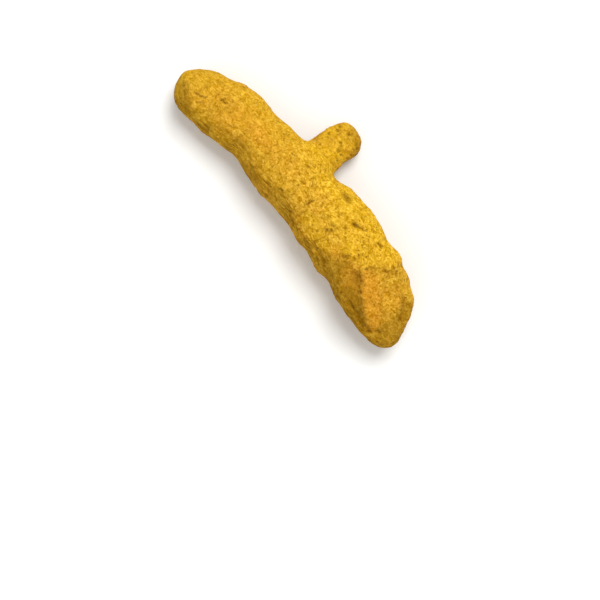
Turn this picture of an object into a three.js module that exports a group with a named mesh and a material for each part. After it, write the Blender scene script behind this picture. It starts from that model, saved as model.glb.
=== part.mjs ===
// A cured, dried turmeric finger, lying as it comes to rest on a table: one bowed and slightly
// flattened rhizome with a stubby side finger that grew out of it. It is one piece throughout.
// Millimetres, +Z up, +X along the finger, with the origin under the middle of its box.
import * as THREE from "three";
import { ImprovedNoise } from "three/addons/math/ImprovedNoise.js";

// Driving dimensions
const FLATNESS = 0.92; // height of a cross-section over its width
const FUSE = 1.9; // how widely the side finger's root runs into the body
const TABLE = 0; // what sinks below this height is pressed flat
const CELL = 1.1; // spacing of the net that wraps the shape
const MARGIN = 2.4; // cells of room between the shape and the net's box

// The body's middle line seen from above, the height of its underside and its half-width.
// A negative lift is a low place that the finger rests on.
const BODY = [
  { x: 4.4, y: 3.7, lift: 0.9, half: 5.9 },
  { x: 9, y: 4.75, lift: -0.15, half: 6.5 },
  { x: 13, y: 5.85, lift: -0.35, half: 6.9 },
  { x: 18, y: 6.75, lift: 0.2, half: 6.75 },
  { x: 24, y: 7.1, lift: 0.8, half: 6.85 },
  { x: 31, y: 7.3, lift: 1.1, half: 7.55 },
  { x: 38, y: 7.2, lift: 1.1, half: 7.2 },
  { x: 45, y: 7.35, lift: 0.5, half: 8.15 },
  { x: 50, y: 7.15, lift: 0.1, half: 8.4 },
  { x: 55, y: 6.6, lift: -0.2, half: 8.0 },
  { x: 60, y: 5.95, lift: -0.35, half: 8.5 },
  { x: 63, y: 4.9, lift: 0.1, half: 7.9 },
  { x: 66.5, y: 4.2, lift: 0.8, half: 7.2 },
  { x: 69.95, y: 1.75, lift: 2.6, half: 4.75 },
];

// The side finger leaves the body's flank and droops until its tip touches the table.
const SIDE_FINGER = [
  { x: 33.6, y: 9.5, lift: 3.2, half: 5.0 },
  { x: 32.7, y: 15, lift: 2.0, half: 4.6 },
  { x: 32.5, y: 18.4, lift: 0.7, half: 4.1 },
  { x: 32.9, y: 21.3, lift: -0.25, half: 4.05 },
];

// Worn faces, each a soft cut by a plane: the body's broken thin end, the rubbed top of its thick
// end, the flank that falls away from it, the thick end's broken face, then the side finger's tip.
const BODY_WORN = [
  { through: [0.4, 0.7, 8.2], facing: [-0.73, -0.57, 0.38], soft: 1.2 },
  { through: [65.5, 5, 13.1], facing: [0.34, 0.06, 0.94], soft: 0.8 },
  { through: [63.5, 0.2, 12.6], facing: [0.2, -0.6, 0.77], soft: 0.9 },
  { through: [73, 6, 7], facing: [0.88, 0.44, 0.18], soft: 1.6 },
];
const SIDE_WORN = [{ through: [36.2, 23.7, 4.5], facing: [0.79, 0.58, 0.2], soft: 0.8 }];

// Hollows in the surface, and swellings where the depth is negative.
const HOLLOWS = [
  { at: [57.4, 3.8, 15.2], reach: 2.3, depth: 0.85 }, // beside the rubbed end, on top
  { at: [62.9, 13.6, 5.2], reach: 1.6, depth: 1 }, // notch where the end swells
  { at: [62.9, 13.8, 8.2], reach: 1.6, depth: 1 },
  { at: [62.5, 13, 11], reach: 1.6, depth: 0.9 },
  { at: [60.8, 11.4, 13.2], reach: 1.3, depth: 0.4 },
  { at: [71.4, -3, 6], reach: 1.8, depth: 0.35 }, // under the thick end's corner
  { at: [0, 7.4, 7], reach: 2.6, depth: 1.15 }, // shoulder of the thin end
  { at: [58.6, 9.6, 15], reach: 1.6, depth: 0.4 },
  { at: [49.7, 11.9, 15.2], reach: 1.5, depth: 0.5 }, // slit beside the shoulder
  { at: [42.2, 14.2, 11], reach: 1.7, depth: 0.5 },
  { at: [38.2, 7.4, 14.6], reach: 1.3, depth: 0.35 },
  { at: [37.4, 15.6, 8], reach: 1.6, depth: 0.35 }, // groove on the side finger's far flank
  { at: [28.2, 15.2, 8], reach: 1.4, depth: 0.75 },
  { at: [21, 0.6, 6], reach: 3.2, depth: 0.5 },
  { at: [46, 7, 0.8], reach: 4.5, depth: 0.7 }, // shrunken belly
  { at: [28, 8, 1], reach: 3.6, depth: 0.6 },
  { at: [50, -1, 7], reach: 2.6, depth: -0.35 },
  { at: [26.5, 0, 5], reach: 1.9, depth: -0.7 }, // a bud that never grew
  { at: [57.5, 12.5, 3.6], reach: 2.0, depth: -0.6 },
  { at: [66, -1.2, 5], reach: 2.4, depth: -0.3 },
];

// Leaf scars ring the finger at these distances along it.
const SCAR_RINGS = { at: [6.5, 12.5, 19.5, 26, 41, 48.5, 56.5, 63], height: 0.2, reach: 1.3 };
const LUMPS = [
  { wave: 7.5, height: 0.5 },
  { wave: 3.6, height: 0.26 },
];
const LUMP_SHIFT = { x: 3.1, y: 7.7, z: 1.3 }; // picks which stretch of the noise shapes the skin

const CURVE_STEPS = 72;
const NUDGE = 0.05; // step for measuring the shape's slope
const LEAST_SLOPE = 0.5; // keeps a corner in a crease from being thrown far
const SETTLING_ROUNDS = 6;
const EASE = 0.5; // how far a corner moves towards the middle of its neighbours in a round

const noise = new ImprovedNoise();
const vector = ([x, y, z]) => new THREE.Vector3(x, y, z);

// A chain of centres and radii along a smooth curve through the stations, with the height
// stretched so that a round section stands for a flattened one.
function chainOf(stations) {
  const middle = stations.map(({ x, y, lift, half }) =>
    new THREE.Vector3(x, y, lift / FLATNESS + half));
  const path = new THREE.CatmullRomCurve3(middle);
  const widths = new THREE.CatmullRomCurve3(stations.map(({ half }) => new THREE.Vector3(half, 0, 0)));
  const links = [];
  let travelled = 0;
  for (let i = 0; i <= CURVE_STEPS; i++) {
    const centre = path.getPoint(i / CURVE_STEPS);
    if (i > 0) travelled += centre.distanceTo(links[i - 1].centre);
    links.push({ centre, radius: widths.getPoint(i / CURVE_STEPS).x, travelled });
  }
  return links;
}

// Distance from a point to the chain's skin, and how far along the chain the nearest link is.
const offset = new THREE.Vector3();
const link = new THREE.Vector3();
function toChain(point, chain) {
  let nearest = Infinity;
  let along = 0;
  for (let i = 1; i < chain.length; i++) {
    const from = chain[i - 1];
    const to = chain[i];
    link.subVectors(to.centre, from.centre);
    offset.subVectors(point, from.centre);
    const share = THREE.MathUtils.clamp(offset.dot(link) / link.lengthSq(), 0, 1);
    const radius = THREE.MathUtils.lerp(from.radius, to.radius, share);
    const distance = offset.addScaledVector(link, -share).length() - radius;
    if (distance < nearest) {
      nearest = distance;
      along = THREE.MathUtils.lerp(from.travelled, to.travelled, share);
    }
  }
  return { distance: nearest, along };
}

const softMin = (a, b, width) => {
  const overlap = Math.max(width - Math.abs(a - b), 0) / width;
  return Math.min(a, b) - (overlap * overlap * width) / 4;
};
const softMax = (a, b, width) => -softMin(-a, -b, width);

const planesOf = (worn) => worn.map(({ through, facing, soft }) => {
  const normal = vector(facing).normalize();
  return { plane: new THREE.Plane().setFromNormalAndCoplanarPoint(normal, vector(through)), soft };
});
const wearDown = (distance, point, planes) =>
  planes.reduce((value, { plane, soft }) =>
    softMax(value, plane.distanceToPoint(point), soft), distance);

const body = chainOf(BODY);
const sideFinger = chainOf(SIDE_FINGER);
const bodyPlanes = planesOf(BODY_WORN);
const sidePlanes = planesOf(SIDE_WORN);
const hollows = HOLLOWS.map(({ at, reach, depth }) => ({ at: vector(at), reach, depth }));

// The shape as a field: negative inside, zero on the skin.
const stretched = new THREE.Vector3();
const lump = new THREE.Vector3();
function field(point) {
  stretched.set(point.x, point.y, point.z / FLATNESS);
  const trunk = toChain(stretched, body);
  const side = toChain(stretched, sideFinger);
  let value = softMin(
    wearDown(trunk.distance, point, bodyPlanes),
    wearDown(side.distance, point, sidePlanes),
    FUSE,
  );
  for (const ring of SCAR_RINGS.at) {
    value -= SCAR_RINGS.height * Math.exp(-(((trunk.along - ring) / SCAR_RINGS.reach) ** 2));
  }
  for (const { wave, height } of LUMPS) {
    lump.copy(point).divideScalar(wave).add(LUMP_SHIFT);
    value -= height * noise.noise(lump.x, lump.y, lump.z);
  }
  for (const { at, reach, depth } of hollows) {
    value += depth * Math.exp(-point.distanceToSquared(at) / reach ** 2);
  }
  return value;
}

// Moves a point onto the skin along the field's slope.
const slope = new THREE.Vector3();
const probe = new THREE.Vector3();
function settle(point) {
  const value = field(point);
  for (const axis of ["x", "y", "z"]) {
    probe.copy(point);
    probe[axis] += NUDGE;
    slope[axis] = (field(probe) - value) / NUDGE;
  }
  point.addScaledVector(slope, -value / Math.max(slope.lengthSq(), LEAST_SLOPE ** 2));
}

// Wraps the field in a net of quads: one corner in each cell that the skin crosses, one quad
// round each cell edge that it cuts.
function netAround(box, cell) {
  const size = box.getSize(new THREE.Vector3());
  const count = [size.x, size.y, size.z].map((length) => Math.ceil(length / cell) + 1);
  const [nx, ny, nz] = count;
  const at = (i, j, k) => i + nx * (j + ny * k);
  const place = (i, j, k) =>
    new THREE.Vector3(box.min.x + i * cell, box.min.y + j * cell, box.min.z + k * cell);
  const values = new Float64Array(nx * ny * nz);
  for (let k = 0; k < nz; k++)
    for (let j = 0; j < ny; j++)
      for (let i = 0; i < nx; i++) values[at(i, j, k)] = field(place(i, j, k));

  const corners = [];
  const cornerOf = new Map();
  const steps = [0, 1];
  for (let k = 0; k < nz - 1; k++)
    for (let j = 0; j < ny - 1; j++)
      for (let i = 0; i < nx - 1; i++) {
        const crossing = new THREE.Vector3();
        let crossings = 0;
        for (const a of steps)
          for (const b of steps) {
            const edges = [
              [[0, a, b], [1, a, b]],
              [[a, 0, b], [a, 1, b]],
              [[a, b, 0], [a, b, 1]],
            ];
            for (const [[p, q, r], [s, t, u]] of edges) {
              const start = values[at(i + p, j + q, k + r)];
              const end = values[at(i + s, j + t, k + u)];
              if (start < 0 === end < 0) continue;
              const share = start / (start - end);
              crossing.add(place(i + p, j + q, k + r).lerp(place(i + s, j + t, k + u), share));
              crossings++;
            }
          }
        if (!crossings) continue;
        cornerOf.set(at(i, j, k), corners.length);
        corners.push(crossing.divideScalar(crossings));
      }

  const quads = [];
  const ways = [[1, 0, 0], [0, 1, 0], [0, 0, 1]];
  for (let k = 1; k < nz - 1; k++)
    for (let j = 1; j < ny - 1; j++)
      for (let i = 1; i < nx - 1; i++)
        ways.forEach(([p, q, r], axis) => {
          const startsInside = values[at(i, j, k)] < 0;
          const endsInside = values[at(i + p, j + q, k + r)] < 0;
          if (startsInside === endsInside) return;
          const [a, b, c] = ways[(axis + 1) % 3];
          const [d, e, f] = ways[(axis + 2) % 3];
          const ring = [
            at(i - a - d, j - b - e, k - c - f),
            at(i - d, j - e, k - f),
            at(i, j, k),
            at(i - a, j - b, k - c),
          ].map((cellAt) => cornerOf.get(cellAt));
          quads.push(startsInside ? ring : ring.reverse());
        });
  return { corners, quads };
}

// Evens out the net: each corner moves to the middle of its neighbours and back to the skin.
function relax({ corners, quads }) {
  for (let round = 0; round < SETTLING_ROUNDS; round++) {
    const sums = corners.map(() => new THREE.Vector3());
    const counts = corners.map(() => 0);
    for (const quad of quads)
      quad.forEach((corner, n) => {
        const next = quad[(n + 1) % 4];
        sums[corner].add(corners[next]);
        sums[next].add(corners[corner]);
        counts[corner]++;
        counts[next]++;
      });
    corners.forEach((corner, n) => {
      corner.lerp(sums[n].divideScalar(counts[n]), EASE);
      settle(corner);
    });
  }
  corners.forEach((corner) => {
    settle(corner);
    corner.z = Math.max(corner.z, TABLE);
  });
}

// Each quad becomes two triangles across its shorter diagonal.
function geometryOf({ corners, quads }) {
  const triangles = quads.flatMap(([a, b, c, d]) => {
    const shortAcross = corners[a].distanceTo(corners[c]) < corners[b].distanceTo(corners[d]);
    return shortAcross ? [a, b, c, a, c, d] : [b, c, d, b, d, a];
  });
  const geometry = new THREE.BufferGeometry().setFromPoints(corners);
  geometry.setIndex(triangles);
  geometry.computeVertexNormals();
  return geometry;
}

const around = new THREE.Box3();
for (const { centre, radius } of [...body, ...sideFinger]) {
  const middle = centre.clone().setZ(centre.z * FLATNESS);
  around.expandByPoint(middle.clone().subScalar(radius));
  around.expandByPoint(middle.clone().addScalar(radius));
}
around.expandByScalar(MARGIN * CELL);

const net = netAround(around, CELL);
relax(net);
const geometry = geometryOf(net);
geometry.computeBoundingBox();
const middle = geometry.boundingBox.getCenter(new THREE.Vector3());
geometry.translate(-middle.x, -middle.y, 0);

const driedSkin = new THREE.MeshStandardMaterial({ color: 0xd6a12a, roughness: 0.9, metalness: 0 });
const root = new THREE.Mesh(geometry, driedSkin);
root.name = "turmeric_root";

const finger = new THREE.Group();
finger.add(root);
export default finger;
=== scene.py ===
import math

import bpy
import numpy as np
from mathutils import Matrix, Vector, noise


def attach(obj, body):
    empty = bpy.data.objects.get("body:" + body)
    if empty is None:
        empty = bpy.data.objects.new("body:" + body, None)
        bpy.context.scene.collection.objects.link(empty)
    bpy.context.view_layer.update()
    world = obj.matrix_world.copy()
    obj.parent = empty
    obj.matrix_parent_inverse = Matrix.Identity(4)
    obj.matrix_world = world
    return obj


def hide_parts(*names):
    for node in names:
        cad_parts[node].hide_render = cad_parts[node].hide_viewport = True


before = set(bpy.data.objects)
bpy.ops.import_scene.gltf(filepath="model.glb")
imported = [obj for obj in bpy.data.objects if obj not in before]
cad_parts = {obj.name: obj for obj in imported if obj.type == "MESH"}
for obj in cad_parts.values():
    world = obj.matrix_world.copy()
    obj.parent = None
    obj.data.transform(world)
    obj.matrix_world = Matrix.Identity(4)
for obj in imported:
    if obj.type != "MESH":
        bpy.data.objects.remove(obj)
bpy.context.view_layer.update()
mm = 0.001
scene = bpy.context.scene


# Small helpers

def linear(hexColour):  # "#RRGGBB" as seen on a screen, to the linear colour that Blender mixes
    channels = [int(hexColour[i:i + 2], 16) / 255 for i in (1, 3, 5)]
    return tuple(c / 12.92 if c <= 0.04045 else ((c + 0.055) / 1.055) ** 2.4 for c in channels) + (1.0,)


def addNode(tree, kind, inputs=None, output=0, **settings):
    # an input is a value, a "#RRGGBB" or a socket, and inputs that share a name go by their number
    node = tree.nodes.new("ShaderNode" + kind)
    for name, value in settings.items():
        setattr(node, name, value)
    for socket, value in (inputs or {}).items():
        if isinstance(value, bpy.types.NodeSocket):
            tree.links.new(value, node.inputs[socket])
        else:
            node.inputs[socket].default_value = linear(value) if isinstance(value, str) else value
    return node.outputs[output] if node.outputs else node


def newMaterial(name):
    material = bpy.data.materials.new(name)
    material.use_nodes = True
    material.node_tree.nodes.clear()
    return material, material.node_tree


def selectOnly(piece):
    bpy.ops.object.select_all(action="DESELECT")
    piece.select_set(True)
    bpy.context.view_layer.objects.active = piece


def applyModifier(piece, kind, **settings):
    selectOnly(piece)
    modifier = piece.modifiers.new(kind.lower(), kind)
    for name, value in settings.items():
        setattr(modifier, name, value)
    bpy.ops.object.modifier_apply(modifier=modifier.name)


def smoothStep(low, high, value):
    share = np.clip((value - low) / (high - low), 0, 1)
    return share * share * (3 - 2 * share)


def noiseAt(points, size, shift):  # size is one grain, or one for each direction, in the points' unit
    scaled = points / np.asarray(size, float) + shift
    return np.array([noise.noise(Vector(p)) for p in scaled])


# Camera straight above, turned and placed so that the finger lies as it does in the photograph

photoView = {
    "widthMm": 132.0,  # 600 pixels of 0.22 mm
    "middle": (17.07, -19.68),  # the part's point, in mm, under the picture's middle
    "height": 7.5,  # mm, the level at which that width is true
    "turn": math.radians(50.17),  # from +X to the picture's right
    "lens": 100.0,
    "sensor": 36.0,
    "nearest": 10.0,  # mm, what is closer to the lens isn't drawn
}
photoView["distance"] = photoView["widthMm"] * photoView["lens"] / photoView["sensor"]  # mm above that level


def addCamera(view):
    x, y = view["middle"]
    bpy.ops.object.camera_add(
        location=(x * mm, y * mm, (view["height"] + view["distance"]) * mm), rotation=(0, 0, view["turn"]))
    camera = bpy.context.object
    camera.data.lens = view["lens"]
    camera.data.sensor_width = view["sensor"]
    camera.data.clip_start = view["nearest"] * mm
    scene.camera = camera


addCamera(photoView)
print("camera placed")


# The finger's own coordinates: how far along it a point lies, how far to the side, and how high

finger = {
    "node": "turmeric_root",
    "merge": 0.001,  # mm, because the CAD node's triangles are loose
    "subdivisions": 2,
    "voxel": 0.235,  # mm between points of the skin
    "smoothing": {"factor": 0.5, "iterations": 8},
    "slabs": 26,  # slices that a middle line is found from
    "lineDegree": 5,
    "lineSteps": 400,
    "bodyFlank": 4.6,  # mm, the body reaches no further to the side finger's side
    "bodyEnd": 3.0,  # mm left off the middle line at each end, where slices say little
    "sideFrom": 3.4,  # mm across, where the side finger's own grain starts to show
    "sideTo": 6.6,
    "sideEnd": 2.0,  # mm left off the middle line at its tip
    "sideReach": (5.5, 8.0),  # mm from the side finger's middle line
    "sideShift": 40,  # its noise is taken from elsewhere
    "brushed": {"from": -12.0, "to": 4.0, "stretch": (2.8, 1.3)},  # lengthwise felt, longest in the thin half
}


def middleLine(points, axis, low, high, keep):
    # fits smooth curves to the middles of slices across the given axis
    others = [i for i in range(3) if i != axis]
    at, middles = [], []
    step = (high - low) / finger["slabs"]
    for i in range(finger["slabs"]):
        place = low + (i + 0.5) * step
        inSlab = points[keep & (abs(points[:, axis] - place) < step)]
        at.append(place)
        middles.append([(inSlab[:, k].min() + inSlab[:, k].max()) / 2 for k in others])
    return [np.polynomial.Polynomial.fit(at, column, finger["lineDegree"]) for column in zip(*middles)]


def straighten(points, axis, low, high, keep):
    # unbends the points along their middle line: along, across, up
    across, up = middleLine(points, axis, low, high, keep)
    steps = np.linspace(low, high, finger["lineSteps"])
    slope = across.deriv()(steps)
    lengths = np.concatenate([[0], np.cumsum(np.hypot(1, slope)[:-1] * np.diff(steps))])
    other = 1 - axis
    place = np.clip(points[:, axis], low, high)
    angle = np.arctan(across.deriv()(place))
    off = points[:, other] - across(place)
    along = np.interp(place, steps, lengths) + (points[:, axis] - place) + off * np.sin(angle)
    return np.column_stack([along, off * np.cos(angle), points[:, 2] - up(place)])


def unbend(points):
    # every point in the body's coordinates, in the side finger's, and its share in the side finger
    low, high = points.min(0), points.max(0)
    onBody = points[:, 1] < finger["bodyFlank"]
    body = straighten(points, 0, low[0] + finger["bodyEnd"], high[0] - finger["bodyEnd"], onBody)
    onSide = points[:, 1] > finger["sideTo"]
    side = straighten(points, 1, finger["sideTo"], high[1] - finger["sideEnd"], onSide)
    share = smoothStep(finger["sideFrom"], finger["sideTo"], points[:, 1])
    share = share * (1 - smoothStep(*finger["sideReach"], abs(side[:, 1])))
    return {"body": body, "side": side, "sideShare": share}


def noiseAlong(lie, size, shift):  # noise that follows whichever finger the point is on
    onBody = noiseAt(lie["body"], size, shift)
    onSide = noiseAt(lie["side"], size, shift + finger["sideShift"])
    return (1 - lie["sideShare"]) * onBody + lie["sideShare"] * onSide


def drawOut(along):
    # shortens the lengthwise coordinate where a texture laid on it should come out longer
    brushed = finger["brushed"]
    thin, thick = brushed["stretch"]
    steps = np.linspace(along.min(), along.max(), finger["lineSteps"])
    stretch = thin + (thick - thin) * smoothStep(brushed["from"], brushed["to"], steps)
    return np.interp(along, steps, np.cumsum(np.gradient(steps) / stretch))


def readVertices(mesh, field):  # field is "co" or "normal"
    flat = np.empty(len(mesh.vertices) * 3, np.float32)
    mesh.vertices.foreach_get(field, flat)
    return flat.reshape(-1, 3).astype(float)


def storeOnPoints(mesh, name, values):
    kind, field = ("FLOAT_VECTOR", "vector") if values.ndim == 2 else ("FLOAT", "value")
    attribute = mesh.attributes.new(name, kind, "POINT")
    attribute.data.foreach_set(field, values.astype(np.float32).ravel())


# The skin is remeshed finely from the solid, then shaped by marks and by noise, all in mm.
# A shift takes a layer's noise from another place, so that the layers don't line up.

relief = {
    "swell": [{"size": 4.4, "height": 0.13, "shift": 11}, {"size": 2.0, "height": 0.07, "shift": 11}],
    "creases": [
        {"size": (8.0, 1.2, 1.2), "depth": 0.17, "shift": 3},
        {"size": (4.5, 0.62, 0.62), "depth": 0.13, "shift": 8}],
    "creaseSharpness": 4.0,
    "creasePatches": {"size": 6.5, "range": (-0.35, 0.35), "shift": 23},
    "creasesOnTop": 0.2,  # of those on the flanks
    "creasesRubbedOff": 0.8,
    "darkCrease": 0.22,  # the depth at which a crease is all in shade
    "grain": [{"size": 0.8, "height": 0.055, "shift": 5}, {"size": 0.48, "height": 0.03, "shift": 17}],
    "grainWarp": {"size": 1.6, "reach": 0.5, "shifts": (31, 57, 83)},
    "grainRubbedOff": 0.4,
    "ragged": {"size": 0.7, "reach": 0.3, "shifts": (61, 67)},  # how far a mark's outline wanders
    "restsAt": 0.02,  # so that the flat spots don't share the table's plane
}

# Which way the skin faces, from not at all to wholly: up and under by its normal's Z, the rest by its Y
facing = {
    "up": (0.0, 0.3),
    "under": (0.35, -0.45),
    "farFlank": (-0.35, -0.9),
    "nearSide": (0.15, 0.7),
}

# Leaf scars: how far each lies from the thin end's tip, and how deep its line is
scarRings = {
    "at": [(6.4, 0.08), (12.8, 0.10), (19.6, 0.08), (26.5, 0.10), (41.7, 0.04), (48.8, 0.06), (56.7, 0.06)],
    "drawn": (0.15, 1, 1),  # the noise of a ring changes round the finger and hardly along it
    "wander": {"size": 5.0, "reach": 0.9, "shift": 71},
    "gaps": {"size": 3.0, "range": (-0.25, 0.2), "shift": 97},
    "lineWidth": 0.3,
    "rimWidth": 0.75,
    "rimHeight": 0.07,
    "worn": 0.15,  # what is left of them along the finger's sides
    "sides": (0.1, 0.5),  # the normal's steepness, from a side to the top or the underside
}

# Marks on top, along a path on the part's plan. A negative depth is a ridge. Shade darkens, from 0 to 1.
topMarks = [
    {"path": [(1.9, -4.9), (2.0, -4.1), (2.0, -3.4)], "width": 0.30, "depth": 0.28, "shade": 0.9},
    {"path": [(1.0, -4.2), (1.6, -4.4)], "width": 0.50, "depth": 0.16, "shade": 0.2},
    {"path": [(5.7, 2.8), (6.9, 2.7)], "width": 0.62, "depth": 0.38, "shade": 0.7},
    {"path": [(11.9, 0.2), (12.5, 0.5)], "width": 0.40, "depth": 0.40, "shade": 1.0},
    {"path": [(12.5, 0.5), (13.6, 0.7), (14.6, 1.3)], "width": 0.30, "depth": 0.22, "shade": 0.7},
    {"path": [(18.6, 1.5), (19.6, 1.5)], "width": 0.24, "depth": 0.26, "shade": 0.75},
    {"path": [(8.8, -5.4), (9.2, -5.1)], "width": 0.36, "depth": 0.26, "shade": 0.9},
    {"path": [(9.6, -4.5), (10.1, -4.6)], "width": 0.28, "depth": 0.22, "shade": 0.8},
    {"path": [(-4.6, -7.6), (-4.0, -7.4)], "width": 0.34, "depth": 0.24, "shade": 0.8},
    {"path": [(15.7, -6.3), (16.4, -5.8), (16.6, -5.2)], "width": 0.34, "depth": 0.34, "shade": 0.6},
    {"path": [(21.8, -3.0), (22.1, -2.8)], "width": 0.38, "depth": 0.32, "shade": 0.55},
    {"path": [(22.0, -2.9), (23.5, -0.7), (25.6, 0.9), (25.8, 2.6)],
     "width": 0.50, "depth": 0.20, "shade": 0.2},
    {"path": [(21.0, -4.15), (21.3, -4.0)], "width": 0.38, "depth": 0.38, "shade": 0.9},
    {"path": [(22.7, -1.9), (22.9, -1.6)], "width": 0.28, "depth": 0.22, "shade": 0.6},
    {"path": [(24.0, -1.5), (24.8, -0.5)], "width": 0.28, "depth": 0.22, "shade": 0.5},
    {"path": [(24.8, 0.5), (25.0, 0.8)], "width": 0.24, "depth": 0.22, "shade": 0.55},
    {"path": [(25.7, 0.7), (26.3, 0.2)], "width": 0.26, "depth": 0.22, "shade": 0.5},
    {"path": [(21.3, -3.3), (22.4, -3.2), (22.5, -2.2)], "width": 0.34, "depth": -0.2, "shade": 0.0},
    {"path": [(-32.5, -8.0), (-31.3, -7.7), (-30.4, -6.9)], "width": 0.24, "depth": 0.22, "shade": 0.8},
    {"path": [(-30.9, -9.4), (-30.0, -8.2), (-29.6, -8.4)], "width": 0.20, "depth": 0.14, "shade": 0.45},
    {"path": [(-27.9, -4.8), (-27.4, -4.4), (-27.0, -4.7), (-26.5, -4.3)],
     "width": 0.22, "depth": 0.22, "shade": 0.85},
    {"path": [(6.5, -4.3), (7.2, -3.5)], "width": 0.50, "depth": 0.16, "shade": 0.25},
    {"path": [(8.8, -4.2), (8.8, -3.8), (9.6, -3.5)], "width": 0.26, "depth": 0.20, "shade": 0.6},
    {"path": [(9.3, -9.3), (10.7, -9.8)], "width": 0.30, "depth": 0.22, "shade": 0.5},
    {"path": [(11.1, -2.1), (11.5, -1.8)], "width": 0.30, "depth": 0.20, "shade": 0.6},
    {"path": [(13.1, -8.5), (14.2, -8.6)], "width": 0.30, "depth": 0.20, "shade": 0.5},
    {"path": [(32.0, -12.6), (32.3, -12.4)], "width": 0.42, "depth": 0.28, "shade": 0.8},
    {"path": [(33.3, -11.1), (33.7, -10.9)], "width": 0.40, "depth": 0.24, "shade": 0.7},
    {"path": [(20.5, -6.6), (21.8, -7.4)], "width": 1.25, "depth": 0.55, "shade": 0.6},
    {"path": [(21.3, -6.6), (24.3, -8.8)], "width": 0.55, "depth": 0.45, "shade": 0.6},
    {"path": [(24.3, -8.8), (26.0, -10.0), (27.9, -11.6)], "width": 0.65, "depth": 0.36, "shade": 0.35},
    {"path": [(23.8, -10.2), (28.0, -12.4)], "width": 1.8, "depth": 0.25, "shade": 0.0},
    {"path": [(23.1, -6.0), (24.8, -7.2), (26.7, -8.5), (30.4, -11.4)],
     "width": 0.60, "depth": -0.34, "shade": 0.0},
    {"path": [(22.0, -4.9), (23.4, -5.8)], "width": 0.7, "depth": -0.14, "shade": 0.0},
    {"path": [(25.4, -2.6), (26.1, -3.2), (28.7, -5.8), (30.5, -7.6)],
     "width": 0.45, "depth": 0.24, "shade": 0.18},
    {"path": [(31.0, -1.6), (32.6, -2.8), (34.6, -5.6)], "width": 0.50, "depth": 0.38, "shade": 0.25},
    {"path": [(29.6, 0.2), (32.3, -0.9), (34.4, -2.7), (36.2, -5.2)],
     "width": 0.60, "depth": -0.34, "shade": 0.0},
    {"path": [(24.5, -11.6), (25.8, -12.0), (30.0, -12.6), (31.6, -12.3)],
     "width": 0.42, "depth": 0.30, "shade": 0.45},
    {"path": [(25.0, -13.0), (29.0, -13.4), (32.2, -13.5)], "width": 0.6, "depth": -0.24, "shade": 0.0},
    {"path": [(-6.0, 5.1), (-2.6, 5.3), (0.2, 4.9), (2.0, 4.2)], "width": 0.6, "depth": 0.22, "shade": 0.05},
    {"path": [(-36.6, -6.9), (-35.2, -8.6), (-33.3, -10.1), (-30.4, -11.6)],
     "width": 0.60, "depth": -0.30, "shade": 0.0},
]

# Skin of another colour on top, and painted light and shade: how far each place reaches from its path, how
# soft its edge is, and its share
orangePlaces = [
    {"path": [(23.1, -5.1), (27.2, -7.4), (31.0, -10.9)], "reach": 2.1, "soft": 0.5, "share": 0.8},
    {"path": [(26.5, -4.8), (31.0, -7.8)], "reach": 2.2, "soft": 2.4, "share": 0.4},
    {"path": [(19.6, -7.2), (22.3, -9.6), (24.5, -10.6)], "reach": 1.9, "soft": 2.0, "share": 0.7},
    {"path": [(-18.5, -3.6), (-14.0, -3.4)], "reach": 1.6, "soft": 2.4, "share": 0.5},
    {"path": [(-29.0, -6.5), (-20.5, -6.0)], "reach": 3.4, "soft": 5.0, "share": 0.2},
    {"path": [(-12.0, -9.0), (-4.0, -10.5)], "reach": 1.5, "soft": 4.0, "share": 0.35},
    {"path": [(0.5, -7.6), (9.0, -9.4)], "reach": 1.4, "soft": 2.6, "share": 0.2},
    {"path": [(11.0, -9.4), (14.5, -6.5), (18.1, -3.9)], "reach": 1.2, "soft": 2.0, "share": 0.4},
    {"path": [(23.4, -3.0), (25.0, -1.2)], "reach": 1.2, "soft": 2.0, "share": 0.35},
    {"path": [(28.6, -1.6), (31.2, -3.6)], "reach": 1.2, "soft": 2.0, "share": 0.4},
    {"path": [(-3.4, 8.2), (0.4, 7.6)], "reach": 0.9, "soft": 1.2, "share": 0.15},
]
# Dull, darker places: partly the skin's own colour, partly painted shade along the edges and at the tips
dullAndShadedPlaces = [
    {"path": [(16.5, -7.4), (20.0, -9.0)], "reach": 1.8, "soft": 2.2, "share": 0.55},
    {"path": [(22.8, -10.4), (24.8, -11.0), (29.5, -13.2)], "reach": 1.8, "soft": 1.8, "share": 0.85},
    {"path": [(12.5, -9.6), (17.0, -11.2), (22.0, -12.6)], "reach": 1.2, "soft": 1.6, "share": 0.55},
    {"path": [(-19.0, -10.8), (-14.0, -10.4), (-10.0, -10.2)], "reach": 1.1, "soft": 1.6, "share": 0.5},
    {"path": [(34.0, -3.0), (37.0, -8.0)], "reach": 2.2, "soft": 2.0, "share": 0.65},
    {"path": [(34.0, -9.4), (34.6, -5.0)], "reach": 1.5, "soft": 2.0, "share": 0.75},
    {"path": [(35.6, -12.4), (37.4, -10.4)], "reach": 1.0, "soft": 1.6, "share": 0.6},
    {"path": [(-35.6, -8.7), (-33.2, -10.3), (-29.7, -11.9)], "reach": 0.9, "soft": 1.2, "share": 0.65},
    {"path": [(-21.4, -9.0), (-14.7, -7.0)], "reach": 1.0, "soft": 1.6, "share": 0.3},
    {"path": [(-38.0, -9.4), (-36.6, -10.8), (-32.6, -13.4)], "reach": 1.8, "soft": 1.4, "share": 0.4},
    {"path": [(-3.6, 13.2), (-1.0, 13.0)], "reach": 1.4, "soft": 2.0, "share": 0.45},
    {"path": [(-0.6, 12.4), (0.9, 10.2)], "reach": 1.1, "soft": 1.6, "share": 0.75},
    {"path": [(31.2, -7.2), (32.4, -7.6)], "reach": 1.2, "soft": 2.0, "share": 0.45},
    {"path": [(20.6, -6.9), (23.6, -9.2)], "reach": 1.0, "soft": 1.4, "share": 0.4},
    {"path": [(22.4, -3.8), (24.5, -1.4), (26.5, 0.6)], "reach": 0.8, "soft": 1.4, "share": 0.35},
]
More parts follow.
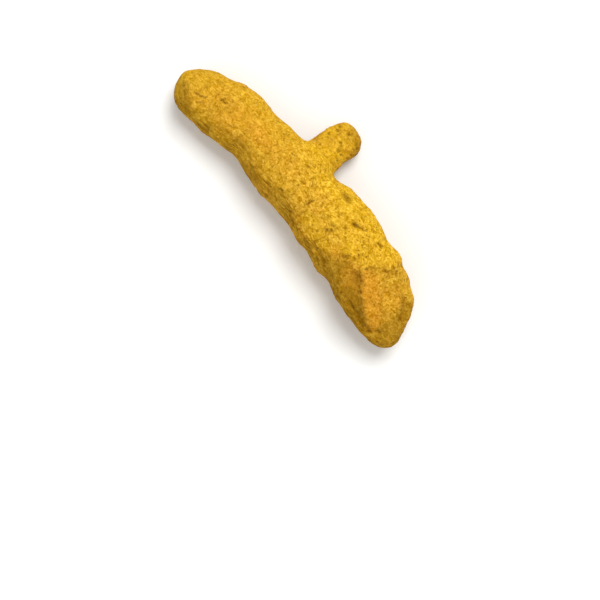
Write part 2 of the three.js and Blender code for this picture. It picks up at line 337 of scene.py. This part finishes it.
# Yellow places: partly yellow dust, partly painted light that brightens the top
yellowAndLitPlaces = [
    {"path": [(-16.0, 2.6), (-7.2, 3.6), (-1.0, 3.6), (4.6, 2.8)], "reach": 1.3, "soft": 1.4, "share": 0.55},
    {"path": [(4.6, 2.8), (13.0, 3.2), (21.0, 2.8)], "reach": 1.6, "soft": 1.8, "share": 0.9},
    {"path": [(-9.4, 3.4), (-3.5, 4.4), (1.2, 4.4), (3.2, 3.6)], "reach": 1.1, "soft": 1.4, "share": 1.0},
    {"path": [(-28.0, -11.6), (-20.5, -9.6)], "reach": 1.8, "soft": 2.6, "share": 0.25},
    {"path": [(-37.6, -6.5), (-35.4, -11.4)], "reach": 1.2, "soft": 1.6, "share": 0.8},
    {"path": [(-10.0, -7.4), (-3.4, -7.8)], "reach": 1.6, "soft": 2.0, "share": 0.3},
    {"path": [(4.5, -6.8), (8.4, -7.6), (11.6, -8.0)], "reach": 1.6, "soft": 2.0, "share": 0.65},
    {"path": [(-7.4, 7.5), (-6.8, 12.0), (-5.0, 14.5)], "reach": 1.2, "soft": 1.6, "share": 0.7},
    {"path": [(8.0, -1.2), (19.5, -1.0)], "reach": 3.2, "soft": 4.0, "share": 0.55},
    {"path": [(-4.4, 4.6), (-1.2, 7.0)], "reach": 2.2, "soft": 2.4, "share": 0.9},
    {"path": [(15.4, -4.2), (18.6, -2.6)], "reach": 1.8, "soft": 2.0, "share": 0.8},
    {"path": [(-2.6, 5.8), (-2.8, 11.5)], "reach": 2.2, "soft": 2.4, "share": 0.45},
]

# Painted highlight, a paler yellow on the side that faces +Y towards the key light: its share at the thin
# end, and where, in mm along, it grows and fades
litSideHighlight = {"thinEnd": 0.35, "grows": (-8.0, 4.0), "fades": (20.0, 28.0), "offSideFinger": 0.7}

# What the yellow, dust and painted highlight alike, does where it lies: it fills the creases, takes back the
# painted flank shade and smooths the skin
dustAndHighlight = {"fills": 0.7, "smooths": 0.7}

# The felt is strongest towards the thick end, and weaker on rubbed skin and on the side finger
feltByPlace = {"grows": (-14.0, 0.0), "thickEnd": 0.22, "rubbedOff": 0.08, "offSideFinger": 0.25}

# The orange patch and what lies round it was rubbed smooth
rubbedPatch = {"path": [(22.0, -6.5), (30.5, -9.8)], "reach": 4.0, "soft": 2.0, "share": 1.0}

# Pits crowd the top of the side finger
sidePits = {
    "seed": 5, "count": 34,
    "low": (-7.5, 6.3), "high": (1.5, 12.5),  # corners of their area, on plan
    "length": (0.1, 0.05),  # along X and along Y
    "width": (0.16, 0.27), "depth": (0.1, 0.24), "shade": (0.4, 0.9),  # least and most
}

# Scars where rootlets broke off, on the sides that lie below or away from the top
rootScars = {
    "seed": 12, "count": 18, "apart": 5.0, "radius": (0.5, 1.0),
    "facing": 0.1,  # the most of the normal's Z, so that none faces up
    "above": 1.2,  # mm, clear of the table
    "depth": 0.28, "rim": 0.15,
    "holeWidth": 0.55, "rimWidth": 0.4,  # of the radius
}


def alongSight(points):
    # where each point shows on plan from the camera, so that the marks fall where the photograph shows them
    middle = np.array(photoView["middle"])
    shrink = photoView["distance"] / (photoView["distance"] + photoView["height"] - points[:, 2])
    return middle + (points[:, :2] - middle) * shrink[:, None]


def raggedPlan(points):  # the same, with every outline made to wander a little
    ragged = relief["ragged"]
    wobble = np.column_stack([noiseAt(points, ragged["size"], shift) for shift in ragged["shifts"]])
    return alongSight(points) + ragged["reach"] * wobble


def offPath(points, path):  # distance on plan from a line through the given places
    nearest = np.full(len(points), np.inf)
    for start, end in zip(path, path[1:]):
        start, step = np.array(start), np.subtract(end, start)
        share = np.clip((points - start) @ step / (step @ step), 0, 1)
        nearest = np.minimum(nearest, np.linalg.norm(points - start - share[:, None] * step, axis=1))
    return nearest


def insidePlace(points, place):
    edge = place["soft"] / 2
    inside = 1 - smoothStep(place["reach"] - edge, place["reach"] + edge, offPath(points, place["path"]))
    return inside * place["share"]


def insideAny(points, places):
    return np.max([insidePlace(points, place) for place in places], axis=0)


def scatterSidePits():
    chooser = np.random.default_rng(sidePits["seed"])
    places = chooser.uniform(sidePits["low"], sidePits["high"], (sidePits["count"], 2))
    return [{"path": [place, place + sidePits["length"]], "width": chooser.uniform(*sidePits["width"]),
             "depth": chooser.uniform(*sidePits["depth"]), "shade": chooser.uniform(*sidePits["shade"])}
            for place in places]


def placeRootScars(points, normals):
    chooser = np.random.default_rng(rootScars["seed"])
    hidden = points[(normals[:, 2] < rootScars["facing"]) & (points[:, 2] > rootScars["above"])]
    low, high = hidden.min(0), hidden.max(0)
    scars = []
    while len(scars) < rootScars["count"]:
        target = chooser.uniform(low, high)
        centre = hidden[np.argmin(np.linalg.norm(hidden - target, axis=1))]
        if all(np.linalg.norm(centre - other) > rootScars["apart"] for other, _ in scars):
            scars.append((centre, chooser.uniform(*rootScars["radius"])))
    return scars


def highlightOnLitSide(points, normals, lie):
    # painted highlight, strongest where the skin faces +Y towards the key light
    thinEnd = litSideHighlight["thinEnd"]
    side = smoothStep(*facing["nearSide"], normals[:, 1])
    side = side * (1 - litSideHighlight["offSideFinger"] * lie["sideShare"])
    side = side * (thinEnd + (1 - thinEnd) * smoothStep(*litSideHighlight["grows"], points[:, 0]))
    return side * (1 - smoothStep(*litSideHighlight["fades"], points[:, 0]))


def sumLayers(points, layers):
    return sum(layer["height"] * noiseAt(points, layer["size"], layer["shift"]) for layer in layers)


def creaseSkin(points, lie, flank, smooth):
    # creases run lengthwise, deepest where the skin shrank most
    onTop = relief["creasesOnTop"]
    shrunk = (onTop + (1 - onTop) * flank) * (1 - relief["creasesRubbedOff"] * smooth)
    patches = relief["creasePatches"]
    shrunk = shrunk * smoothStep(*patches["range"], noiseAt(points, patches["size"], patches["shift"]))
    depth = np.zeros(len(points))
    for layer in relief["creases"]:
        off = abs(noiseAlong(lie, layer["size"], layer["shift"])) * relief["creaseSharpness"]
        depth += layer["depth"] * (1 - np.minimum(off, 1)) ** 2
    return shrunk * depth


def ringBody(lie, normals):
    # leaf scars ring the body: how much they raise the skin, and how far each point is on a line
    body, onBody = lie["body"], 1 - lie["sideShare"]
    around = body * scarRings["drawn"]
    wander, gaps, worn = scarRings["wander"], scarRings["gaps"], scarRings["worn"]
    broken = smoothStep(*gaps["range"], noiseAt(around, gaps["size"], gaps["shift"])) * onBody
    kept = worn + (1 - worn) * smoothStep(*scarRings["sides"], abs(normals[:, 2]))
    place = body[:, 0] - body[:, 0].min() - noiseAt(around, wander["size"], wander["shift"]) * wander["reach"]
    raised = np.zeros(len(body))
    onLine = np.zeros(len(body))
    for at, depth in scarRings["at"]:
        off = place - at
        line = np.exp(-(off / scarRings["lineWidth"]) ** 2) * broken
        rim = np.exp(-((off + 2 * scarRings["lineWidth"]) / scarRings["rimWidth"]) ** 2) * onBody
        raised += (scarRings["rimHeight"] * rim - depth * line) * kept
        onLine = np.maximum(onLine, line)
    return raised, onLine


def markTop(ragged, facesUp):
    # pits, slits and ridges that show on top: how deep they are, and their shade
    depth = np.zeros(len(ragged))
    shade = np.zeros(len(ragged))
    for mark in topMarks + scatterSidePits():
        spread = np.exp(-(offPath(ragged, mark["path"]) / mark["width"]) ** 2) * facesUp
        depth += mark["depth"] * spread
        shade = np.maximum(shade, mark["shade"] * spread)
    return depth, shade


def feltSkin(points, smooth):
    warp = relief["grainWarp"]
    warped = np.column_stack([noiseAt(points, warp["size"], shift) for shift in warp["shifts"]])
    warped = points + warp["reach"] * warped
    return sumLayers(warped, relief["grain"]) * (1 - relief["grainRubbedOff"] * smooth)


def scarHidden(points, normals):
    # rootlet scars: how much they raise the skin, and how far each point is in a hole, painted there as shade
    raised = np.zeros(len(points))
    holeShade = np.zeros(len(points))
    for centre, radius in placeRootScars(points, normals):
        off = np.linalg.norm(points - centre, axis=1) / radius
        hole = np.exp(-(off / rootScars["holeWidth"]) ** 2)
        rim = np.exp(-((off - 1) / rootScars["rimWidth"]) ** 2)
        raised += rootScars["rim"] * rim - rootScars["depth"] * hole
        holeShade = np.maximum(holeShade, hole)
    return raised, holeShade


def shapeSkin(piece):
    mesh = piece.data
    points = readVertices(mesh, "co") / mm
    normals = readVertices(mesh, "normal")
    lie = unbend(points)
    ragged = raggedPlan(points)
    facesUp = smoothStep(*facing["up"], normals[:, 2])
    # painted shade: the underside and the far flank, which faces -Y away from the key light, take the darker
    # flank colour
    underneath = smoothStep(*facing["under"], normals[:, 2])
    farFlank = smoothStep(*facing["farFlank"], normals[:, 1])
    yellowAndHighlight = insideAny(ragged, yellowAndLitPlaces) * facesUp
    flank = np.maximum(farFlank, underneath) * (1 - dustAndHighlight["fills"] * yellowAndHighlight)
    # painted highlight on the side that faces the key light
    yellowAndHighlight = np.maximum(yellowAndHighlight, highlightOnLitSide(points, normals, lie) * facesUp)
    smooth = np.maximum(insidePlace(ragged, rubbedPatch) * facesUp, dustAndHighlight["smooths"] * yellowAndHighlight)

    crease = creaseSkin(points, lie, flank, smooth)
    ringRaised, ring = ringBody(lie, normals)
    markDepth, shade = markTop(ragged, facesUp)
    scarRaised, holeShade = scarHidden(points, normals)
    shade = np.maximum(shade, holeShade)
    raised = sumLayers(points, relief["swell"]) + ringRaised + feltSkin(points, smooth) + scarRaised
    move = raised - crease - markDepth
    felt = 1 + feltByPlace["thickEnd"] * smoothStep(*feltByPlace["grows"], points[:, 0])
    felt = felt * (1 - feltByPlace["rubbedOff"] * smooth)
    felt = felt * (1 - feltByPlace["offSideFinger"] * lie["sideShare"])

    points = points + normals * move[:, None]
    points[:, 2] = np.maximum(points[:, 2], relief["restsAt"])
    mesh.vertices.foreach_set("co", (points * mm).astype(np.float32).ravel())
    mesh.update()

    body = lie["body"]
    storeOnPoints(mesh, "brushedPlace", np.column_stack([drawOut(body[:, 0]), body[:, 1:]]) * mm)
    storeOnPoints(mesh, "straightBody", body * mm)
    storeOnPoints(mesh, "straightSide", lie["side"] * mm)
    storeOnPoints(mesh, "sideShare", lie["sideShare"])
    # painted shade in creases, marks and scar holes; the marks are partly their own darker colour
    storeOnPoints(mesh, "hollowShade", np.clip(crease / relief["darkCrease"] + shade, 0, 1))
    storeOnPoints(mesh, "ring", ring)
    storeOnPoints(mesh, "flank", flank)
    storeOnPoints(mesh, "orange", insideAny(ragged, orangePlaces) * facesUp)
    storeOnPoints(mesh, "yellowAndHighlight", yellowAndHighlight)
    storeOnPoints(mesh, "dullAndShaded", insideAny(ragged, dullAndShadedPlaces))
    storeOnPoints(mesh, "feltStrength", felt)


def addFinger():
    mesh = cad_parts[finger["node"]].data.copy()
    mesh.materials.clear()
    piece = bpy.data.objects.new("dried_turmeric_finger", mesh)
    scene.collection.objects.link(piece)
    selectOnly(piece)
    bpy.ops.object.mode_set(mode="EDIT")
    bpy.ops.mesh.select_all(action="SELECT")
    bpy.ops.mesh.remove_doubles(threshold=finger["merge"] * mm)
    bpy.ops.object.mode_set(mode="OBJECT")
    levels = finger["subdivisions"]
    applyModifier(piece, "SUBSURF", levels=levels, render_levels=levels)
    applyModifier(piece, "REMESH", mode="VOXEL", voxel_size=finger["voxel"] * mm, adaptivity=0)
    applyModifier(piece, "SMOOTH", **finger["smoothing"])
    shapeSkin(piece)
    selectOnly(piece)
    bpy.ops.object.shade_smooth()
    return piece


driedFinger = addFinger()
print("finger made,", len(driedFinger.data.polygons), "faces")


# Cured turmeric skin: boiled, sun-dried and tumbled. It gives the eye a matte golden felt of fibres and dust,
# mottled with orange where it was rubbed, with painted shade, amber, in its pits and creases, on its far
# flank and underneath, and a painted highlight on the side towards the key light.

skin = {
    "ochre": "#EBB42C",
    "orange": "#EAA125",
    # yellow dust, also the colour of the painted light and highlight
    "yellowAndHighlight": "#FAC324",
    # painted shade on the far flank and the underside
    "flank": "#C69413",
    # dull skin, also the colour of painted shade at the edges and tips
    "dullAndShaded": "#A87912",
    "thread": "#8E6004",
    "pit": "#5E3A02",
    "roughness": 0.9,
    "specular": 0.04,
    "covers": {"yellowAndHighlight": 0.85, "dullAndShaded": 1.0, "flank": 0.5},  # how far each colour hides the one below
    # painted shade in the hollows; the rings are the leaf scars' own darker line
    "darkens": {"hollowShade": (0.85, "pit"), "ring": (0.25, "thread")},  # how far, and to which colour

    # sizes are in mm; a noise between from and to gives least to most, or 0 and 1 where those aren't named
    "blotch": {"size": 5.0, "detail": 3.0, "from": 0.42, "to": 0.68, "most": 0.3},  # ochre against orange
    "patch": {"size": 1.4, "detail": 3.0, "from": 0.5, "to": 0.72, "most": 0.4},
    "clump": {  # of dust and fibre
        "size": 0.9, "detail": 3.0, "curl": 0.8, "from": 0.3, "to": 0.7, "least": -0.12, "most": 0.32},

    # real powder, fibres and the shade between them are finer than the render shows,
    # so the felt, the fibres, the threads and the dents are drawn as coarse as they need to show
    "felt": {"size": 0.34, "detail": 2.0, "from": 0.3, "to": 0.7, "least": -0.18, "most": 0.12},
    "fibres": {"size": 0.5, "detail": 1.0, "curl": 1.6, "halfWidth": 0.08, "light": 0.2},
    "threads": [
        {"size": 0.85, "detail": 1.5, "curl": 1.0, "halfWidth": 0.06, "share": 0.24},
        {"size": 0.5, "detail": 1.5, "curl": 1.0, "halfWidth": 0.07, "share": 0.14}],
    "dents": [
        {"size": 0.66, "detail": 1.5, "curl": 0.6, "deep": 0.32, "level": 0.42, "share": 0.66},
        {"size": 0.4, "detail": 1.5, "curl": 0.6, "deep": 0.32, "level": 0.4, "share": 0.45}],
    "groups": {"size": 2.2, "detail": 2.0, "from": 0.38, "to": 0.6, "least": 0.4},  # of threads and streaks

    "streakLength": 3.0,
    "streakWidth": 0.4,
    "streak": {"size": 1.0, "detail": 2.0, "curl": 0.4, "halfWidth": 0.09},  # in those lengths and widths
    "streakOn": {"flank": 0.7, "least": 0.15, "most": 0.8},  # from the top to that much of a flank
    "pits": [
        {"spacing": 2.0, "radius": 0.38, "share": 0.52},
        {"spacing": 1.1, "radius": 0.24, "share": 0.42}],
    "pitless": 0.45,  # of the cells that pits are scattered in
    "pitWander": {"size": 0.5, "detail": 1.0, "reach": 0.35},

    "light": 0.755,  # of the colour, before dust and fibres brighten it
    # as the light goes from dark to light, the hue and the depth of colour go from first to second
    "tone": {"dark": 0.55, "light": 1.15, "hues": (0.4925, 0.5065), "depths": (1.03, 0.965)},
    "bump": 0.16,  # mm
    "bumpStrength": 0.9,
    "stands": {"felt": 0.5, "fibres": 0.3, "threads": -0.35, "streaks": -0.45, "pits": -0.7},  # below 0, sunk
}


def thinLines(tree, place, kind):
    # lines where a noise crosses its middle value
    cloud = addNode(tree, "TexNoise", {
        "Vector": place, "Scale": 1 / kind["size"], "Detail": kind["detail"], "Distortion": kind["curl"]})
    off = addNode(tree, "Math", {0: cloud, 1: 0.5}, operation="SUBTRACT")
    off = addNode(tree, "Math", {0: off}, operation="ABSOLUTE")
    return addNode(tree, "MapRange", {
        "Value": off, "From Max": kind["halfWidth"], "To Min": 1.0, "To Max": 0.0})


def scatterPits(tree, place, kind):
    # round spots of many sizes, one to a cell, with nearly half of the cells left empty
    radius = kind["radius"] / kind["spacing"]
    cell = {"Vector": place, "Scale": 1 / kind["spacing"]}
    chance = addNode(tree, "SeparateColor", {0: addNode(tree, "TexVoronoi", cell, "Color")})
    size = addNode(tree, "MapRange", {"Value": chance, "From Min": skin["pitless"], "To Max": radius})
    off = addNode(tree, "TexVoronoi", cell, "Distance")
    off = addNode(tree, "Math", {0: off, 1: size}, operation="SUBTRACT")
    pit = addNode(tree, "MapRange", {
        "Value": off, "From Min": -radius / 2, "From Max": 0.0, "To Min": 1.0, "To Max": 0.0})
    return addNode(tree, "Math", {0: pit, 1: kind["share"]}, operation="MULTIPLY")


def mottleColour(tree, place, onPoints):
    # ochre mottled with orange over several millimetres, and again over one or two
    blotch, patch = skin["blotch"], skin["patch"]
    broad = addNode(tree, "TexNoise", {
        "Vector": place, "Scale": 1 / blotch["size"], "Detail": blotch["detail"]})
    broad = addNode(tree, "MapRange", {
        "Value": broad, "From Min": blotch["from"], "From Max": blotch["to"], "To Max": blotch["most"]})
    broad = addNode(tree, "Math", {0: broad, 1: onPoints["orange"]}, operation="ADD", use_clamp=True)
    small = addNode(tree, "TexNoise", {
        "Vector": place, "Scale": 1 / patch["size"], "Detail": patch["detail"]})
    small = addNode(tree, "MapRange", {
        "Value": small, "From Min": patch["from"], "From Max": patch["to"], "To Max": patch["most"]})
    colour = addNode(tree, "Mix", {0: broad, 6: skin["ochre"], 7: skin["orange"]}, 2, data_type="RGBA")
    colour = addNode(tree, "Mix", {0: small, 6: colour, 7: skin["orange"]}, 2, data_type="RGBA")
    # then the yellow with its painted light, the dull skin with its painted shade, and the painted flank
    # shade
    for name, share in skin["covers"].items():
        amount = addNode(tree, "Math", {0: onPoints[name], 1: share}, operation="MULTIPLY")
        colour = addNode(tree, "Mix", {0: amount, 6: colour, 7: skin[name]}, 2, data_type="RGBA")
    return colour


def lightDust(tree, clumpNoise, feltNoise, fibres, strength):
    # dust stands bright on clumps and loose fibres, with shade between them; less so where the skin is rubbed
    light = 0.0
    for value, kind in ((clumpNoise, skin["clump"]), (feltNoise, skin["felt"])):
        spread = addNode(tree, "MapRange", {
            "Value": value, "From Min": kind["from"], "From Max": kind["to"],
            "To Min": kind["least"], "To Max": kind["most"]})
        light = addNode(tree, "Math", {0: spread, 1: light}, operation="ADD")
    light = addNode(tree, "Math", {0: fibres, 1: skin["fibres"]["light"], 2: light}, operation="MULTIPLY_ADD")
    return addNode(tree, "Math", {0: light, 1: strength, 2: skin["light"]}, operation="MULTIPLY_ADD")


def toneColour(tree, colour, light):
    # shade between fibres is a deeper amber, and the dust that catches light a paler yellow
    tone = skin["tone"]
    toned = []
    for darkest, lightest in (tone["hues"], tone["depths"]):
        toned.append(addNode(tree, "MapRange", {
            "Value": light, "From Min": tone["dark"], "From Max": tone["light"],
            "To Min": darkest, "To Max": lightest}))
    hue, depth = toned
    return addNode(tree, "HueSaturation", {"Hue": hue, "Saturation": depth, "Value": light, "Color": colour})


def threadShade(tree, brushed, groups, strength):
    # threads of shade squiggle between the fibres, in broken groups, with small dents among them
    threads = 0.0
    for net in skin["threads"]:
        line = thinLines(tree, brushed, net)
        line = addNode(tree, "Math", {0: line, 1: net["share"]}, operation="MULTIPLY")
        threads = addNode(tree, "Math", {0: line, 1: threads}, operation="MAXIMUM")
    for kind in skin["dents"]:
        dent = addNode(tree, "TexNoise", {
            "Vector": brushed, "Scale": 1 / kind["size"],
            "Detail": kind["detail"], "Distortion": kind["curl"]})
        dent = addNode(tree, "MapRange", {
            "Value": dent, "From Min": kind["deep"], "From Max": kind["level"],
            "To Min": kind["share"], "To Max": 0.0})
        threads = addNode(tree, "Math", {0: threads, 1: dent}, operation="MAXIMUM")
    threads = addNode(tree, "Math", {0: threads, 1: groups}, operation="MULTIPLY")
    return addNode(tree, "Math", {0: threads, 1: strength}, operation="MULTIPLY")


def streakShade(tree, onPoints, groups):
    # streaks follow each finger, clearest down its flanks
    perStreak = [1 / mm / skin[side] for side in ("streakLength", "streakWidth", "streakWidth")]
    streaks = []
    for name in ("straightBody", "straightSide"):
        own = addNode(tree, "Attribute", output="Vector", attribute_name=name)
        own = addNode(tree, "VectorMath", {0: own, 1: perStreak}, operation="MULTIPLY")
        streaks.append(thinLines(tree, own, skin["streak"]))
    streak = addNode(tree, "Mix", {0: onPoints["sideShare"], 2: streaks[0], 3: streaks[1]})
    on = skin["streakOn"]
    share = addNode(tree, "MapRange", {
        "Value": onPoints["flank"], "From Max": on["flank"], "To Min": on["least"], "To Max": on["most"]})
    streak = addNode(tree, "Math", {0: streak, 1: share}, operation="MULTIPLY")
    return addNode(tree, "Math", {0: streak, 1: groups}, operation="MULTIPLY")


def pitShade(tree, place, strength):
    # pits, where dust and rootlets have come away
    wander = skin["pitWander"]
    reach = (wander["reach"],) * 3
    off = addNode(tree, "TexNoise", {
        "Vector": place, "Scale": 1 / wander["size"], "Detail": wander["detail"]}, "Color")
    place = addNode(tree, "VectorMath", {0: off, 1: reach, 2: place}, operation="MULTIPLY_ADD")
    pits = 0.0
    for kind in skin["pits"]:
        pits = addNode(tree, "Math", {0: scatterPits(tree, place, kind), 1: pits}, operation="MAXIMUM")
    return addNode(tree, "Math", {0: pits, 1: strength}, operation="MULTIPLY")


def curedSkin():
    material, tree = newMaterial("curedTurmericSkin")
    stored = ("flank", "orange", "yellowAndHighlight", "dullAndShaded", "feltStrength", "hollowShade", "ring", "sideShare")
    onPoints = {name: addNode(tree, "Attribute", output="Fac", attribute_name=name) for name in stored}
    strength = onPoints["feltStrength"]
    place = addNode(tree, "TexCoord", output="Object")
    place = addNode(tree, "VectorMath", {0: place, 1: (1 / mm,) * 3}, operation="MULTIPLY")
    brushed = addNode(tree, "Attribute", output="Vector", attribute_name="brushedPlace")
    brushed = addNode(tree, "VectorMath", {0: brushed, 1: (1 / mm,) * 3}, operation="MULTIPLY")

    clump, felt, groups = skin["clump"], skin["felt"], skin["groups"]
    clumpNoise = addNode(tree, "TexNoise", {
        "Vector": place, "Scale": 1 / clump["size"], "Detail": clump["detail"], "Distortion": clump["curl"]})
    feltNoise = addNode(tree, "TexNoise", {
        "Vector": brushed, "Scale": 1 / felt["size"], "Detail": felt["detail"]})
    fibres = thinLines(tree, brushed, skin["fibres"])
    light = lightDust(tree, clumpNoise, feltNoise, fibres, strength)
    colour = toneColour(tree, mottleColour(tree, place, onPoints), light)

    grouped = addNode(tree, "TexNoise", {
        "Vector": place, "Scale": 1 / groups["size"], "Detail": groups["detail"]})
    grouped = addNode(tree, "MapRange", {
        "Value": grouped, "From Min": groups["from"], "From Max": groups["to"], "To Min": groups["least"]})
    threads = threadShade(tree, brushed, grouped, strength)
    streaks = streakShade(tree, onPoints, grouped)
    pits = pitShade(tree, place, strength)
    for amount, shade in ((threads, "thread"), (streaks, "thread"), (pits, "pit")):
        colour = addNode(tree, "Mix", {0: amount, 6: colour, 7: skin[shade]}, 2, data_type="RGBA")
    for name, (share, shade) in skin["darkens"].items():
        amount = addNode(tree, "Math", {0: onPoints[name], 1: share}, operation="MULTIPLY")
        colour = addNode(tree, "Mix", {0: amount, 6: colour, 7: skin[shade]}, 2, data_type="RGBA")

    stands = skin["stands"]
    layers = {"fibres": fibres, "threads": threads, "streaks": streaks, "pits": pits}
    height = addNode(tree, "Math", {0: feltNoise, 1: stands["felt"], 2: clumpNoise}, operation="MULTIPLY_ADD")
    for name, layer in layers.items():
        height = addNode(tree, "Math", {0: layer, 1: stands[name], 2: height}, operation="MULTIPLY_ADD")
    bump = addNode(tree, "Bump", {
        "Strength": skin["bumpStrength"], "Distance": skin["bump"] * mm, "Height": height})
    shader = addNode(tree, "BsdfPrincipled", {
        "Base Color": colour, "Roughness": skin["roughness"], "Specular IOR Level": skin["specular"],
        "Normal": bump})
    addNode(tree, "OutputMaterial", {"Surface": shader})
    return material


driedFinger.data.materials.append(curedSkin())
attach(driedFinger, "root")
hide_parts(finger["node"])
print("skin painted")


# Pale table and soft studio light. The table is matt paper: it gives the eye plain white and one soft shadow.

studio = {
    "tableSide": 6.0,  # m
    "table": "#FAFAF8",
    "tableRoughness": 0.9,
    "sky": "#FFFFFF",
    "skyStrength": 0.48,
    "key": {"at": (-0.12, 0.40, 0.84), "side": 0.5, "power": 6.7},  # m and W
    "fill": {"at": (0.05, -0.60, 0.60), "side": 0.8, "power": 1.5},
}


def addTable():
    bpy.ops.mesh.primitive_plane_add(size=studio["tableSide"], location=(0, 0, 0))
    table = bpy.context.object
    table.name = "table"
    material, tree = newMaterial("paleMattPaper")
    shader = addNode(tree, "BsdfPrincipled", {
        "Base Color": studio["table"], "Roughness": studio["tableRoughness"]})
    addNode(tree, "OutputMaterial", {"Surface": shader})
    table.data.materials.append(material)


def addLight(name, light):
    bpy.ops.object.light_add(type="AREA", location=light["at"])
    lamp = bpy.context.object
    lamp.name = name
    lamp.data.size = light["side"]
    lamp.data.energy = light["power"]
    lamp.rotation_euler = (-Vector(light["at"])).to_track_quat("-Z", "Y").to_euler()


def addSky():
    world = bpy.data.worlds.new("studio")
    scene.world = world
    world.use_nodes = True
    background = world.node_tree.nodes["Background"]
    background.inputs["Color"].default_value = linear(studio["sky"])
    background.inputs["Strength"].default_value = studio["skyStrength"]


addTable()
for name in ("key", "fill"):
    addLight(name, studio[name])
addSky()
scene.view_settings.view_transform = "Standard"
print("studio set")
